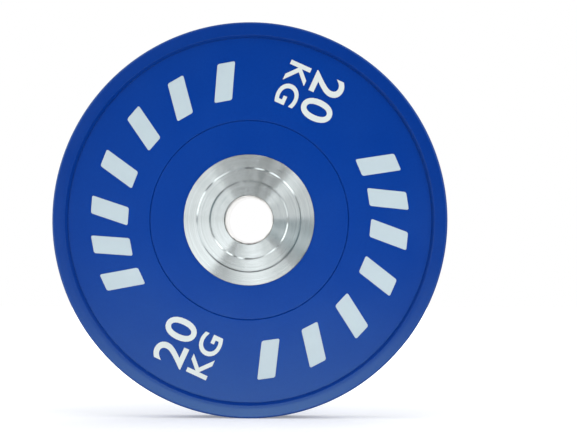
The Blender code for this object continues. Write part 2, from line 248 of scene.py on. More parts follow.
def moulded_rubber():
    """Coloured rubber pressed in a mould: deep blue with a satin shine, faintly blotchy, fine-grained.

    Painted shade deepens the blue a little over the outer field and again from the rim's wall outwards,
    and the tread, which rubs on floors, is dull.
    """
    material, tree, shader = new_material("moulded_blue_rubber")
    place = add(tree, "ShaderNodeTexCoord").outputs["Object"]
    flat = add(tree, "ShaderNodeVectorMath", {0: place, 1: (1, 0, 1)}, operation="MULTIPLY").outputs[0]
    radius = add(tree, "ShaderNodeVectorMath", {0: flat}, operation="LENGTH").outputs["Value"]
    blotch = add(
        tree, "ShaderNodeTexNoise", {"Vector": place, "Scale": BLOTCHES, "Detail": 3, "Roughness": 0.6}
    ).outputs["Fac"]
    speck = add(
        tree, "ShaderNodeTexNoise", {"Vector": place, "Scale": SPECKS, "Detail": 2, "Roughness": 0.6}
    ).outputs["Fac"]
    grain = add(
        tree, "ShaderNodeTexNoise", {"Vector": place, "Scale": MOULD_GRAIN, "Detail": 2, "Roughness": 0.5}
    ).outputs["Fac"]
    blue = add(
        tree,
        "ShaderNodeMix",
        {SHARE: blotch, FIRST: linear("#003896"), SECOND: linear("#053f9c")},
        data_type="RGBA",
    ).outputs[MIXED]
    blue = add(
        tree, "ShaderNodeMix", {SHARE: speck, FIRST: linear("#01348c"), SECOND: blue}, data_type="RGBA"
    ).outputs[MIXED]
    # Painted shade on the rim's wall and over the rim, as if shade fell in the crease
    wall = add(
        tree,
        "ShaderNodeMapRange",
        {
            "Value": radius,
            "From Min": FIELD_RADIUS - SHADE_INSIDE,
            "From Max": FIELD_RADIUS + SHADE_BEYOND,
        },
        interpolation_type="SMOOTHSTEP",
    ).outputs[0]
    # Painted shade over the outer field, darker towards the edge
    field = add(
        tree,
        "ShaderNodeMapRange",
        {
            "Value": radius,
            "From Min": FIELD_PAINTED_SHADE_FROM,
            "From Max": FIELD_RADIUS,
            "To Min": 0.0,
            "To Max": FIELD_PAINTED_SHADE,
        },
    ).outputs[0]
    painted_shade = add(
        tree, "ShaderNodeMath", {0: wall, 1: WALL_PAINTED_SHADE, 2: field}, operation="MULTIPLY_ADD"
    ).outputs[0]
    # Mix the painted shade in towards a darker blue
    blue = add(
        tree, "ShaderNodeMix", {SHARE: painted_shade, FIRST: blue, SECOND: linear("#0a2a72")}, data_type="RGBA"
    ).outputs[MIXED]
    tree.links.new(blue, shader.inputs["Base Color"])
    satin = add(
        tree,
        "ShaderNodeMapRange",
        {"Value": blotch, "From Min": 0.3, "From Max": 0.7, "To Min": 0.15, "To Max": 0.18},
    ).outputs[0]
    edge = PLATE_RADIUS - TREAD_ROUND
    tread = add(
        tree,
        "ShaderNodeMapRange",
        {
            "Value": radius,
            "From Min": edge,
            "From Max": edge + DULLING_RUN,
            "To Min": 0.0,
            "To Max": TREAD_DULLING,
        },
    ).outputs[0]
    roughness = add(tree, "ShaderNodeMath", {0: satin, 1: tread}, operation="ADD").outputs[0]
    tree.links.new(roughness, shader.inputs["Roughness"])
    bump = add(tree, "ShaderNodeBump", {"Height": grain, "Strength": 0.25, "Distance": 0.00012}).outputs[0]
    tree.links.new(bump, shader.inputs["Normal"])
    shader.inputs["IOR"].default_value = 1.5
    shader.inputs["Specular IOR Level"].default_value = 0.6
    # Its shine is slightly green
    shader.inputs["Specular Tint"].default_value = linear("#ceffec")
    return material


def inlay_rubber(name, pale, shade):
    """Pale rubber moulded in as a second colour: matt and even, faintly clouded by handling."""
    material, tree, shader = new_material(name)
    place = add(tree, "ShaderNodeTexCoord").outputs["Object"]
    cloud = add(
        tree, "ShaderNodeTexNoise", {"Vector": place, "Scale": HANDLING_MARKS, "Detail": 4, "Roughness": 0.6}
    ).outputs["Fac"]
    grain = add(
        tree, "ShaderNodeTexNoise", {"Vector": place, "Scale": MOULD_GRAIN, "Detail": 2}
    ).outputs["Fac"]
    tint = add(
        tree,
        "ShaderNodeMix",
        {SHARE: cloud, FIRST: linear(shade), SECOND: linear(pale)},
        data_type="RGBA",
    ).outputs[MIXED]
    tree.links.new(tint, shader.inputs["Base Color"])
    matt = add(
        tree,
        "ShaderNodeMapRange",
        {"Value": cloud, "From Min": 0.3, "From Max": 0.7, "To Min": 0.5, "To Max": 0.62},
    ).outputs[0]
    tree.links.new(matt, shader.inputs["Roughness"])
    bump = add(tree, "ShaderNodeBump", {"Height": grain, "Strength": 0.2, "Distance": 0.0001}).outputs[0]
    tree.links.new(bump, shader.inputs["Normal"])
    shader.inputs["IOR"].default_value = 1.5
    return material


def turned_steel():
    """Steel faced on a lathe: fine rings that draw each card they mirror out into a wedge of light.

    The shine is drawn out along the radius, across the rings. On the flats the rings' slopes also tip
    the normal outwards, by the arc tangent of RING_LEAN, so that a flat seen square on mirrors what
    stands twice that, or 28 degrees, off the axis.
    """
    material, tree, shader = new_material("lathe_turned_steel")
    place = add(tree, "ShaderNodeTexCoord").outputs["Object"]
    normal = add(tree, "ShaderNodeNewGeometry").outputs["Normal"]
    flat = add(tree, "ShaderNodeVectorMath", {0: place, 1: (1, 0, 1)}, operation="MULTIPLY").outputs[0]
    radius = add(tree, "ShaderNodeVectorMath", {0: flat}, operation="LENGTH").outputs["Value"]
    outward = add(tree, "ShaderNodeVectorMath", {0: flat}, operation="NORMALIZE").outputs[0]
    along = add(
        tree, "ShaderNodeVectorMath", {0: (0, 1, 0), 1: outward}, operation="CROSS_PRODUCT"
    ).outputs[0]
    across = add(tree, "ShaderNodeVectorMath", {0: normal, 1: along}, operation="CROSS_PRODUCT").outputs[0]
    rings = add(
        tree,
        "ShaderNodeTexNoise",
        {"W": radius, "Scale": LATHE_RINGS, "Detail": 3, "Roughness": 0.6},
        noise_dimensions="1D",
    ).outputs["Fac"]
    turned = add(tree, "ShaderNodeVectorMath", {0: outward, 3: STREAKS_ROUND}, operation="SCALE").outputs[0]
    reach = add(tree, "ShaderNodeMath", {0: radius, 1: STREAKS_OUT}, operation="MULTIPLY").outputs[0]
    raised = add(tree, "ShaderNodeCombineXYZ", {"Y": reach}).outputs[0]
    drift = add(tree, "ShaderNodeVectorMath", {0: turned, 1: raised}, operation="ADD").outputs[0]
    streaks = add(
        tree, "ShaderNodeTexNoise", {"Vector": drift, "Scale": 1, "Detail": 4, "Roughness": 0.65}
    ).outputs["Fac"]
    both = add(tree, "ShaderNodeMix", {"Factor": 0.5, "A": rings, "B": streaks}).outputs[0]
    tone = add(
        tree,
        "ShaderNodeMapRange",
        {"Value": both, "From Min": 0.5 - TONE_REACH, "From Max": 0.5 + TONE_REACH},
    ).outputs[0]
    tint = add(
        tree,
        "ShaderNodeMix",
        {SHARE: tone, FIRST: linear("#bfc7c8"), SECOND: linear("#d7dedf")},
        data_type="RGBA",
    ).outputs[MIXED]
    tree.links.new(tint, shader.inputs["Base Color"])
    shader.inputs["Metallic"].default_value = 1.0
    gloss = add(
        tree,
        "ShaderNodeMapRange",
        {"Value": streaks, "From Min": 0.3, "From Max": 0.7, "To Min": 0.18, "To Max": 0.27},
    ).outputs[0]
    tree.links.new(gloss, shader.inputs["Roughness"])
    shader.inputs["Anisotropic"].default_value = 1.0
    tree.links.new(across, shader.inputs["Tangent"])
    facing = add(
        tree, "ShaderNodeVectorMath", {0: normal, 1: (0, 1, 0)}, operation="DOT_PRODUCT"
    ).outputs["Value"]
    facing = add(tree, "ShaderNodeMath", {0: facing}, operation="ABSOLUTE").outputs[0]
    tip = add(
        tree,
        "ShaderNodeMapRange",
        {"Value": facing, "From Min": 0.9, "From Max": 0.99, "To Min": 0.0, "To Max": RING_LEAN},
    ).outputs[0]
    push = add(tree, "ShaderNodeVectorMath", {0: outward, 3: tip}, operation="SCALE").outputs[0]
    leaning = add(tree, "ShaderNodeVectorMath", {0: normal, 1: push}, operation="ADD").outputs[0]
    leaning = add(tree, "ShaderNodeVectorMath", {0: leaning}, operation="NORMALIZE").outputs[0]
    ridges = {"Height": rings, "Strength": 0.1, "Distance": 0.00004, "Normal": leaning}
    bump = add(tree, "ShaderNodeBump", ridges).outputs[0]
    tree.links.new(bump, shader.inputs["Normal"])
    return material


def plain_steel(name, pale, shade, roughness):
    """Steel with one even finish all over, slightly mottled: bored, plated, drawn or cut."""
    material, tree, shader = new_material(name)
    place = add(tree, "ShaderNodeTexCoord").outputs["Object"]
    mottle = add(
        tree, "ShaderNodeTexNoise", {"Vector": place, "Scale": PLATING_MOTTLE, "Detail": 3}
    ).outputs["Fac"]
    tint = add(
        tree,
        "ShaderNodeMix",
        {SHARE: mottle, FIRST: linear(shade), SECOND: linear(pale)},
        data_type="RGBA",
    ).outputs[MIXED]
    tree.links.new(tint, shader.inputs["Base Color"])
    shader.inputs["Metallic"].default_value = 1.0
    smooth = roughness - 0.05
    dull = roughness + 0.08
    gloss = add(
        tree,
        "ShaderNodeMapRange",
        {"Value": mottle, "From Min": 0.3, "From Max": 0.7, "To Min": smooth, "To Max": dull},
    ).outputs[0]
    tree.links.new(gloss, shader.inputs["Roughness"])
    bump = add(tree, "ShaderNodeBump", {"Height": mottle, "Strength": 0.1, "Distance": 0.00005}).outputs[0]
    tree.links.new(bump, shader.inputs["Normal"])
    return material


# Surfaces


def rounded(outline):
    """Round each corner of a closed outline of (radius, height, fillet) with an arc of its fillet.

    The arc's centre lies back along the way in by the fillet times the tangent of half the turn, and
    then the fillet away to the side that the outline turns to.
    """
    points = []
    for i, (x, z, fillet) in enumerate(outline):
        if fillet <= 0:
            points.append((x, z))
            continue
        before = outline[i - 1]
        after = outline[(i + 1) % len(outline)]
        way_in = math.atan2(z - before[1], x - before[0])
        way_out = math.atan2(after[1] - z, after[0] - x)
        turn = (way_out - way_in + math.pi) % (2 * math.pi) - math.pi
        side = math.copysign(1, turn)
        setback = fillet * math.tan(abs(turn) / 2)
        centre_x = x - setback * math.cos(way_in) - side * fillet * math.sin(way_in)
        centre_z = z - setback * math.sin(way_in) + side * fillet * math.cos(way_in)
        step = ARC_STEP if fillet > FINE_FILLET else 2 * ARC_STEP
        steps = max(2, round(abs(turn) / step))
        sweep = way_in - side * math.pi / 2 + turn * np.arange(steps + 1) / steps
        arc = np.column_stack((centre_x + fillet * np.cos(sweep), centre_z + fillet * np.sin(sweep)))
        points.extend(map(tuple, arc))
    return points


def held(points, closed=True):
    """Add points just inside both ends of each long run, so that flats shade flat up to an edge."""
    points = np.array(points, float)
    after = np.roll(points, -1, axis=0)
    out = []
    last = len(points) if closed else len(points) - 1
    for here, there in zip(points[:last], after[:last]):
        out.append(here)
        run = np.linalg.norm(there - here)
        if run > 4 * HOLD:
            inner = max(1, math.ceil((run - 2 * HOLD) / LONGEST))
            share = np.linspace(HOLD / run, 1 - HOLD / run, inner + 1)
            out.extend(here + (there - here) * s for s in share)
    if not closed:
        out.append(points[-1])
    return np.array(out)


def turned_grid(profile):
    """Grid of a profile turned about Y: (r cos a, height, r sin a), one row for each profile point."""
    angle = 2 * np.pi * np.arange(TURNS) / TURNS
    radius, height = profile.T
    x = radius[:, None] * np.cos(angle)
    y = np.repeat(height[:, None], TURNS, axis=1)
    z = radius[:, None] * np.sin(angle)
    return np.stack((x, y, z), axis=-1)


def grid_faces(rows, columns, wrap_rows=True, start=0):
    """Quads between neighbouring rows and columns of a grid, whose last column joins its first."""
    i = np.arange(rows if wrap_rows else rows - 1)[:, None]
    j = np.arange(columns)
    here = i * columns
    below = (i + 1) % rows * columns
    right = (j + 1) % columns
    quads = np.stack((here + j, here + right, below + right, below + j), axis=-1)
    return (start + quads.reshape(-1, 4)).tolist()


def capped_faces(rows, columns, start=0):
    """Faces of a stack of rings, with a cap on its first ring and its last."""
    top = start + (rows - 1) * columns
    faces = grid_faces(rows, columns, wrap_rows=False, start=start)
    faces.append(list(range(start, start + columns)))
    faces.append(list(range(top, top + columns))[::-1])
    return faces


def surface(name, points, faces, material, replaces=()):
    """Make a mesh from points and faces, weld it, face it outwards and set it on the plate's body."""
    mesh = bpy.data.meshes.new(name)
    mesh.from_pydata(points.tolist(), [], faces)
    shape = bmesh.new()
    shape.from_mesh(mesh)
    bmesh.ops.remove_doubles(shape, verts=shape.verts, dist=WELD)
    bmesh.ops.dissolve_degenerate(shape, edges=shape.edges, dist=SLIVER)
    bmesh.ops.recalc_face_normals(shape, faces=shape.faces)
    if shape.calc_volume(signed=True) < 0:
        bmesh.ops.reverse_faces(shape, faces=shape.faces)
    shape.to_mesh(mesh)
    shape.free()
    mesh.shade_smooth()
    mesh.set_sharp_from_angle(angle=CREASE)
    mesh.materials.append(material)
    piece = bpy.data.objects.new(name, mesh)
    bpy.context.scene.collection.objects.link(piece)
    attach(piece, "root")
    if replaces:
        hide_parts(*replaces)


def turned_piece(name, outline, side, material, node):
    """Turn a closed outline into the piece that stands for a solid; side -1 looks to the front."""
    grid = turned_grid(held(rounded(outline))) * (1, side, 1)
    surface(name, grid.reshape(-1, 3), grid_faces(*grid.shape[:2]), material, [node])


# Rubber disc


def rubber_face(side):
    """Outline of one face from the hub out to the tread, its heights signed by the side."""
    half_groove = GROOVE_WIDTH / 2
    return [
        (HUB_RADIUS + HUB_JOINT, side * FIELD_HEIGHT, 0),
        (GROOVE_RADIUS - half_groove, side * FIELD_HEIGHT, GROOVE_ROUND),
        (GROOVE_RADIUS, side * (FIELD_HEIGHT - GROOVE_DEPTH), GROOVE_ROUND),
        (GROOVE_RADIUS + half_groove, side * FIELD_HEIGHT, GROOVE_ROUND),
        (FIELD_RADIUS - GUTTER, side * FIELD_HEIGHT, FIELD_ROUND),
        (FIELD_RADIUS, side * (FIELD_HEIGHT - GUTTER), FIELD_ROUND),
        (RIM_INNER_RADIUS, side * RIM_HEIGHT, RIM_ROUND),
        (RIM_INNER_RADIUS + CROWN_RUN, side * RIM_HEIGHT, CROWN_ROUND),
        (PLATE_RADIUS, side * (RIM_HEIGHT - CROWN_DROP), TREAD_ROUND),
    ]


def make_rubber_body(material):
    """Turn the disc, with a fine parting line round the middle of its tread and a slot for the core."""
    parting = [
        (PLATE_RADIUS, PARTING_WIDTH / 2, 0),
        (PLATE_RADIUS - PARTING_DEPTH, PARTING_FLOOR / 2, 0),
        (PLATE_RADIUS - PARTING_DEPTH, -PARTING_FLOOR / 2, 0),
        (PLATE_RADIUS, -PARTING_WIDTH / 2, 0),
    ]
    slot = [
        (HUB_RADIUS + CLEARANCE, -CORE_HEIGHT - CLEARANCE, 0),
        (CORE_RADIUS + CLEARANCE, -CORE_HEIGHT - CLEARANCE, 0),
        (CORE_RADIUS + CLEARANCE, CORE_HEIGHT + CLEARANCE, 0),
        (HUB_RADIUS + CLEARANCE, CORE_HEIGHT + CLEARANCE, 0),
    ]
    outline = rubber_face(1) + parting + rubber_face(-1)[::-1] + slot
    turned_piece("rubber_disc", outline, 1, material, "rubber_body")


def placed_on(side, points):
    """Put marks drawn for the front on a face; the rear has them turned half round the upright."""
    return points * ((1, -1, 1) if side < 0 else (-1, 1, 1))


def slanted_bar(angle):
    """Raised bar: a stack of rounded rectangles, drawn in a little as they rise, and slanted.

    A rectangle is a quarter circle about each corner. Each point is then pushed along the arc by
    BAR_SLANT times its distance out from the bar's middle, and turned about the bore by the angle.
    """
    quarter = np.linspace(0, np.pi / 2, CORNER_POINTS)
    arcs = np.concatenate([quarter + k * np.pi / 2 for k in range(4)])
    corner_run = np.repeat([1, -1, -1, 1], CORNER_POINTS) * (BAR_WIDTH / 2 - BAR_CORNER)
    corner_out = np.repeat([1, 1, -1, -1], CORNER_POINTS) * (BAR_LENGTH / 2 - BAR_CORNER)
    ring_run = corner_run + BAR_CORNER * np.cos(arcs)
    ring_out = corner_out + BAR_CORNER * np.sin(arcs)
    ring_run, ring_out = held(np.column_stack((ring_run, ring_out))).T
    inset, height = np.array(BAR_SIDES).T[..., None]
    out = ring_out * (1 - 2 * inset / BAR_LENGTH)
    run = ring_run * (1 - 2 * inset / BAR_WIDTH) + BAR_SLANT * out
    radius = BAR_CIRCLE + out
    x = radius * math.cos(angle) - run * math.sin(angle)
    y = np.repeat(FIELD_HEIGHT + height, len(ring_out), axis=1)
    z = -radius * math.sin(angle) - run * math.cos(angle)
    return np.stack((x, y, z), axis=-1)


def make_bars(side, name, degrees, material):
    """Set slanted bars along an arc of the field, as one set of inlays."""
    points = []
    faces = []
    start = 0
    for angle in degrees:
        grid = slanted_bar(math.radians(angle))
        rows, columns = grid.shape[:2]
        faces.extend(capped_faces(rows, columns, start))
        points.append(grid.reshape(-1, 3))
        start += rows * columns
    surface(name, placed_on(side, np.concatenate(points)), faces, material)


def figures(text, width, height, bold, spacing):
    """Flat raised figures, scaled to a box about the origin: x reads, y is up and z rises."""
    curve = bpy.data.curves.new(text, "FONT")
    curve.body = text
    curve.offset = bold
    curve.space_character = spacing
    curve.resolution_u = 6
    # Any thickness will do, because the faces then go to the marks' root and top
    curve.extrude = 0.1
    holder = bpy.data.objects.new(text, curve)
    bpy.context.scene.collection.objects.link(holder)
    graph = bpy.context.evaluated_depsgraph_get()
    mesh = bpy.data.meshes.new_from_object(holder.evaluated_get(graph))
    bpy.data.objects.remove(holder)
    points = np.zeros(len(mesh.vertices) * 3)
    mesh.vertices.foreach_get("co", points)
    points = points.reshape(-1, 3)
    faces = [list(face.vertices) for face in mesh.polygons]
    bpy.data.meshes.remove(mesh)
    low = points.min(0)
    high = points.max(0)
    points = (points - (low + high) / 2) / (high - low)
    points[:, :2] *= (width, height)
    points[:, 2] = np.where(points[:, 2] > 0, MARK_RISE, -MARK_ROOT)
    return points, faces


def make_figures(side, name, text, angle, line, material):
    """Set figures on the field, reading from the rim towards the hub.

    A point lies at the line's radius less its x along the spoke, and at the offset plus its y across.
    """
    radius, offset, width, height, bold, spacing = line
    flat, faces = figures(text, width, height, bold, spacing)
    out = np.array([math.cos(angle), -math.sin(angle)])
    up = np.array([-math.sin(angle), -math.cos(angle)])
    place = (radius - flat[:, :1]) * out + (offset + flat[:, 1:2]) * up
    points = np.column_stack((place[:, 0], FIELD_HEIGHT + flat[:, 2], place[:, 1]))
    surface(name, placed_on(side, points), faces, material)


def make_marks(pale_blue, white):
    """Weight figures and plain bars, the same on both faces."""
    opposite = [degrees + BAR_TURN for degrees in BAR_DEGREES]
    for side, face in ((-1, "front"), (1, "rear")):
        make_bars(side, face + "_bars_a", BAR_DEGREES, pale_blue)
        make_bars(side, face + "_bars_b", opposite, pale_blue)
        for letter, degrees in FIGURE_DEGREES:
            angle = math.radians(degrees)
            make_figures(side, face + "_figures_" + letter, "20", angle, FIGURE_LINE, white)
            make_figures(side, face + "_unit_" + letter, "KG", angle, UNIT_LINE, white)


# Steel hub


def flange_outline():
    """Outline of a flange from its bore out over the raised land to its edge and back inside."""
    return [
        (SEAM_RADIUS, RING_HEIGHT - SEAM_CHAMFER, 0),
        (SEAM_RADIUS + SEAM_CHAMFER, RING_HEIGHT, 0),
        (LAND_INNER_RADIUS, RING_HEIGHT, STEP_FOOT_ROUND),
        (LAND_INNER_RADIUS + STEP_RUN, LAND_HEIGHT, EDGE_ROUND),
        (LAND_OUTER_RADIUS - STEP_RUN, LAND_HEIGHT, EDGE_ROUND),
        (LAND_OUTER_RADIUS, RING_HEIGHT, STEP_FOOT_ROUND),
        (HUB_RADIUS - EDGE_DRAFT, RING_HEIGHT, EDGE_ROUND),
        (HUB_RADIUS, FIELD_HEIGHT - EDGE_FOOT, 0),
        (HUB_RADIUS, FLANGE_HEIGHT, 0),
        (SEAM_RADIUS, FLANGE_HEIGHT, 0),
    ]


def make_front_hub_plate(material):
    """Turn the front flange, whose face is whole."""
    turned_piece("front_flange", flange_outline(), -1, material, "front_hub_plate")


def pocket_sector(angle, inner, outer):
    """One eighth of the land: rings that swell from the pocket's floor and mouth to the sector's edge.

    A ring is a circle about the screw, and on the land each point runs straight from its circle to
    the sector's edge, which lies at the same bearing from the screw.
    """
    half = math.pi / SCREWS
    arc = np.linspace(-half, half, TURNS // SCREWS + 1)
    side = np.linspace(inner, outer, SIDE_POINTS)[1:-1]
    edge_radius = np.concatenate((np.full(len(arc), outer), side[::-1], np.full(len(arc), inner), side))
    edge_angle = np.concatenate((arc, np.full(len(side), half), arc[::-1], np.full(len(side), -half)))
    edge_x = edge_radius * np.cos(edge_angle) - SCREW_CIRCLE
    edge_z = edge_radius * np.sin(edge_angle)
    bearing = np.arctan2(edge_z, edge_x)
    rings = [
        # Floor, then the wall up to its chamfered mouth
        (POCKET_RADIUS / 2, POCKET_HEIGHT),
        (POCKET_RADIUS, POCKET_HEIGHT),
        (POCKET_RADIUS, LAND_HEIGHT - POCKET_RING),
        (POCKET_RADIUS, LAND_HEIGHT - POCKET_CHAMFER),
        (POCKET_RADIUS + POCKET_CHAMFER, LAND_HEIGHT),
    ]
    x = [radius * np.cos(bearing) for radius, height in rings]
    z = [radius * np.sin(bearing) for radius, height in rings]
    y = [np.full(len(bearing), height) for radius, height in rings]
    mouth_x = x[-1]
    mouth_z = z[-1]
    for way_out in LAND_SHARES:
        x.append(mouth_x + (edge_x - mouth_x) * way_out)
        z.append(mouth_z + (edge_z - mouth_z) * way_out)
        y.append(np.full(len(bearing), LAND_HEIGHT))
    x = np.array(x) + SCREW_CIRCLE
    z = np.array(z)
    turned_x = x * math.cos(angle) - z * math.sin(angle)
    turned_z = x * math.sin(angle) + z * math.cos(angle)
    return np.stack((turned_x, np.array(y), turned_z), axis=-1)


def make_rear_hub_plate(material):
    """Turn the rear flange as a strip round its land, then draw the land with its eight pockets."""
    profile = rounded(flange_outline())
    top = [i for i, (radius, height) in enumerate(profile) if height > LAND_HEIGHT - LEVEL]
    first = top[0]
    last = top[-1]
    strip = held(profile[last:] + profile[: first + 1], closed=False)
    grid = turned_grid(strip)
    rows, columns = grid.shape[:2]
    points = [grid.reshape(-1, 3)]
    faces = grid_faces(rows, columns, wrap_rows=False)
    start = rows * columns
    for i in range(SCREWS):
        patch = pocket_sector(2 * math.pi * (i + 0.5) / SCREWS, profile[first][0], profile[last][0])
        rows, columns = patch.shape[:2]
        faces.extend(grid_faces(rows, columns, wrap_rows=False, start=start))
        faces.append(list(range(start, start + columns)))
        points.append(patch.reshape(-1, 3))
        start += rows * columns
    surface("rear_flange", np.concatenate(points), faces, material, ["rear_hub_plate"])


def make_bore_sleeve(material):
    """Turn the sleeve, with a long rounded lead-in at each mouth and its collar inside the core."""
    end = [
        (BORE_RADIUS, SLEEVE_HEIGHT - LEAD_DEPTH, LEAD_ROUND),
        (BORE_RADIUS + LEAD_RISE, SLEEVE_HEIGHT, MOUTH_ROUND),
        (SLEEVE_RADIUS - SEAM_CHAMFER, SLEEVE_HEIGHT, 0),
        (SLEEVE_RADIUS, SLEEVE_HEIGHT - SEAM_CHAMFER, 0),
        (SLEEVE_RADIUS, CORE_HEIGHT, 0),
        (COLLAR_RADIUS, CORE_HEIGHT, 0),
    ]
    outline = end + [(radius, -height, fillet) for radius, height, fillet in end[::-1]]
    turned_piece("sleeve", outline, 1, material, "bore_sleeve")


def make_screws(material):
    """Draw each cap screw as rings about its axis: hexagon socket, chamfered head, knurl and shank.

    A ring's radius is that of a circle, of a hexagon (half its width over the cosine of the angle
    from the nearest flat's middle), or of a circle with a small ripple for the knurl.
    """
    around = 2 * np.pi * np.arange(HEAD_POINTS) / HEAD_POINTS
    circle = np.ones(HEAD_POINTS)
    socket = SOCKET_WIDTH / 2 / np.cos((around + np.pi / 6) % (np.pi / 3) - np.pi / 6)
    socket_floor = HEAD_TOP - SOCKET_DEPTH
    knurl = HEAD_RADIUS - KNURL_RELIEF - KNURL_DEPTH * np.abs(np.sin(KNURL_RIDGES / 2 * around))
    rings = [
        # Socket, from the drill's cone at its floor up to the countersink at its mouth
        (0.02 * socket, socket_floor - 0.0008),
        (0.98 * socket, socket_floor),
        (socket, socket_floor + 0.0001),
        (socket, HEAD_TOP - 0.00025),
        (1.06 * socket, HEAD_TOP - 0.00005),
        (1.12 * socket, HEAD_TOP),
        # Head, over its chamfer and down its knurl to the seat
        ((HEAD_RADIUS - 0.0008) * circle, HEAD_TOP),
        ((HEAD_RADIUS - 0.0006) * circle, HEAD_TOP - 0.00005),
        ((HEAD_RADIUS - 0.0002) * circle, HEAD_TOP - 0.0005),
        (knurl, HEAD_TOP - 0.0008),
        (knurl, HEAD_SEAT + 0.0006),
        ((HEAD_RADIUS - 0.0002) * circle, HEAD_SEAT + 0.0003),
        ((HEAD_RADIUS - 0.0004) * circle, HEAD_SEAT),
        # Shank and its chamfered tip
        (SHANK_RADIUS * circle, HEAD_SEAT),
        (SHANK_RADIUS * circle, SHANK_TIP + TIP_CHAMFER),
        ((SHANK_RADIUS - TIP_CHAMFER) * circle, SHANK_TIP),
    ]
    radius = np.array([radius for radius, height in rings])
    y = np.repeat([[height] for radius, height in rings], HEAD_POINTS, axis=1)
    for i in range(SCREWS):
        angle = 2 * math.pi * (i + 0.5) / SCREWS
        x = SCREW_CIRCLE * math.cos(angle) + radius * np.cos(around + angle)
        z = SCREW_CIRCLE * math.sin(angle) + radius * np.sin(around + angle)
        points = np.stack((x, y, z), axis=-1).reshape(-1, 3)
        faces = capped_faces(len(rings), HEAD_POINTS)
        node = "hub_screw_%d" % (i + 1)
        surface("cap_screw_%d" % (i + 1), points, faces, material, [node])


# Studio

WHITE = (1, 1, 1, 1)

# Even light of the room on matt surfaces
PALE_ROOM = (0.55, 0.565, 0.58, 1)

# Brightness of the two rings of cards round the plate's axis, by degrees. Each level was set
# until the hub's wedges of light looked right.
FRONT_CARDS = (
    (-180, 1.34), (-170, 1.20), (-133, 1.20), (-128, 0.68), (-98, 0.59), (-88, 0.60), (-83, 0.25),
    (-74, 0.78), (-64, 0.42), (-60, 0.60), (-53, 1.42), (-46, 1.30), (-36, 1.06), (-26, 1.16),
    (-7, 1.20), (-1, 0.64), (20, 0.68), (34, 0.14), (49, 0.05), (54, 0.70), (66, 0.70), (75, 1.05),
    (92, 1.33), (112, 0.90), (131, 0.35), (136, 1.52), (165, 1.47), (180, 1.34),
)
SIDE_CARDS = (
    (-180, 0.3), (-176, 0.3), (-172, 2.4), (-150, 2.4), (-146, 0.2), (-138, 0.2), (-134, 2.4),
    (-120, 1.7), (-114, 0.8), (-100, 0.6), (-97, 0.1), (-89, 0.1), (-86, 2.2), (-79, 2.2), (-77, 0.1),
    (-72, 0.1), (-69, 2.4), (-60, 2.4), (-57, 0.4), (-54, 0.4), (-51, 2.6), (-36, 2.2), (-29, 0.3),
    (20, 0.1), (58, 0.4), (66, 0.1), (128, 0.1), (148, 0.6), (160, 1.3), (176, 1.3), (180, 0.3),
)

# Cards between these two bearings are cool: this much more blue, and three quarters of that more green
COOL_CARD = 0.08
COOL_FROM = -1
COOL_TO = 48

# Degrees from the way the front looks over which each zone of the studio gives way to the next
LENS_TO_FRONT = (13, 19)
FRONT_TO_SIDE = (56, 66)
SIDE_TO_REAR = (114, 124)
REAR_TO_WHITE = (146, 154)

# What metal and gloss mirror of the zone round the lens: a table low down, and a faint card on the left
# that reaches a little above the middle. Each pair is how far down or right a direction of length 1
# goes where a fade starts and where it ends.
TABLE_EDGE = (0.045, 0.113)
TABLE_LEVEL = 2.9
LEFT_CARD_EDGE = (-0.03, -0.10)
LEFT_CARD_TOP = (-0.07, -0.02)
LEFT_CARD_LEVEL = 0.17

# Floor: half its width, and its glow near the plate, which grows to white between two distances
FLOOR_HALF = 6.0
FLOOR_GLOW = 0.25
FLOOR_NEAR = 0.25
FLOOR_FAR = 1.4

# Softboxes: place, point faced, width, height, and level, which is the brightness of its face
MIDDLE = (0, 0, 0)
LAMPS = {
    "left_softbox": ((-1.5, -1.6, 0.6), MIDDLE, 1.4, 1.4, 1.6),
    "right_softbox": ((1.6, -1.5, 0.6), MIDDLE, 1.0, 1.2, 3.9),
    "top_softbox": ((0, -0.2, 1.8), MIDDLE, 1.6, 1.6, 0.8),
    "rear_softbox": ((0.4, 2.0, 0.8), MIDDLE, 1.6, 1.4, 2.6),
    "low_card": ((0.0, -0.50, -0.165), (0, 0, -0.19), 0.62, 0.10, 2.55),
}

# Camera: its place about the plate, its lens and sensor in millimetres, and the point that it faces
CAMERA_DISTANCE = 2.4
CAMERA_AZIMUTH = math.radians(4.4)
CAMERA_ELEVATION = math.radians(-1.2)
CAMERA_LENS = 130.4
CAMERA_SENSOR = 36
AIM_RIGHT = 0.0435
AIM_UP = 0.0045


